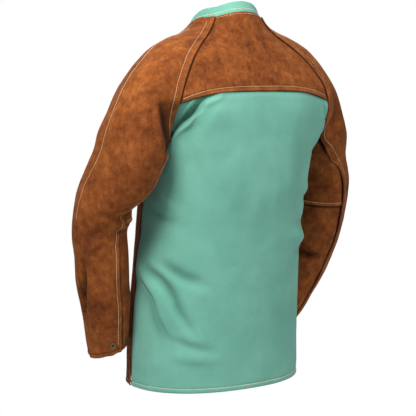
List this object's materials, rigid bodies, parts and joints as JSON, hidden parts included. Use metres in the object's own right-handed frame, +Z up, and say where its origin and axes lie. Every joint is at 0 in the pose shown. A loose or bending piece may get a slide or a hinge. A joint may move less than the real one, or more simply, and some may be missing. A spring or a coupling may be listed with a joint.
{
  "type": "welding jacket",
  "caption": "Worn raglan work jacket with leather sleeves, yoke and fronts, a cotton back panel and stand collar, snap cuffs and a snap front; protects the upper body from sparks.",
  "frame": {"origin": "middle of the neck, level with the place where the jacket sits on the wearer's shoulders", "axes": "+Z up, +Y towards the back, +X towards the wearer's left"},
  "size_m": [0.6536, 0.3412, 0.7762],
  "materials": {
    "leather": "matte napped split leather",
    "cotton": "matte heavy cotton",
    "snap": "antique"
  },
  "bodies": {
    "root": {"collar": "cotton", "back_yoke": "leather", "back_panel": "cotton", "front_left": "leather", "front_right": "leather", "sleeve_back_left": "leather", "sleeve_front_left": "leather", "sleeve_under_upper_left": "leather", "sleeve_under_lower_left": "leather", "sleeve_back_right": "leather", "sleeve_front_right": "leather", "sleeve_under_upper_right": "leather", "sleeve_under_lower_right": "leather", "cuff_snap_left": "snap", "cuff_stud_left": "snap", "cuff_snap_right": "snap", "cuff_stud_right": "snap", "front_snap_1": "snap", "front_snap_2": "snap", "front_snap_3": "snap", "front_snap_4": "snap", "front_snap_5": "snap"}
  },
  "joints": []
}
